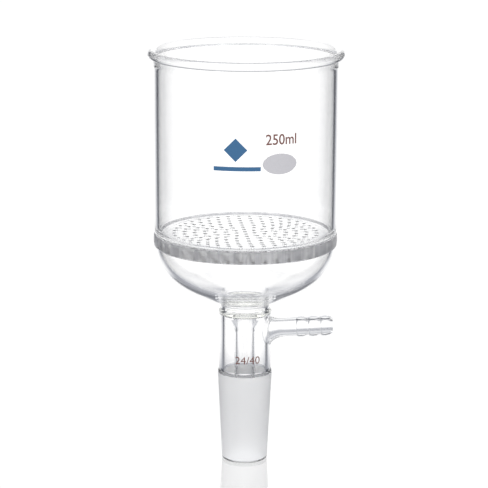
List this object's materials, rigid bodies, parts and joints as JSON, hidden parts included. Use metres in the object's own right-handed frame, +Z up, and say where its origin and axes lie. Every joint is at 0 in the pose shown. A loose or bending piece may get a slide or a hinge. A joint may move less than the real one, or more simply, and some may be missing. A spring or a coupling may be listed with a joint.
{
  "type": "buchner funnel",
  "caption": "Glass vacuum filter funnel: beaded cup over a perforated plate and round bowl, with a drip tube in a jacket that has a hose barb and a ground cone joint.",
  "frame": {"origin": "centre of the ground cone's end face, which is the bottom of the object", "axes": "+Z up along the funnel's axis from the cone to the rim, +X towards the side arm, -Y towards the printed side"},
  "size_m": [0.0852, 0.0852, 0.1846],
  "materials": {
    "clear_glass": "clear borosilicate glass, fire polished",
    "frosted_glass": "ground glass, fine matt, translucent",
    "white_enamel": "matt fired white enamel",
    "brown_enamel": "fired red-brown enamel print",
    "blue_enamel": "fired blue enamel print"
  },
  "bodies": {
    "root": {"upper_cylinder": "clear_glass", "perforated_plate": "clear_glass", "lower_bowl": "clear_glass", "ring_seal": "clear_glass", "drip_tube": "clear_glass", "vacuum_jacket": "clear_glass", "side_arm": "clear_glass", "hose_barb": "clear_glass", "ground_cone": "frosted_glass", "marking_spot": "white_enamel"}
  },
  "joints": []
}
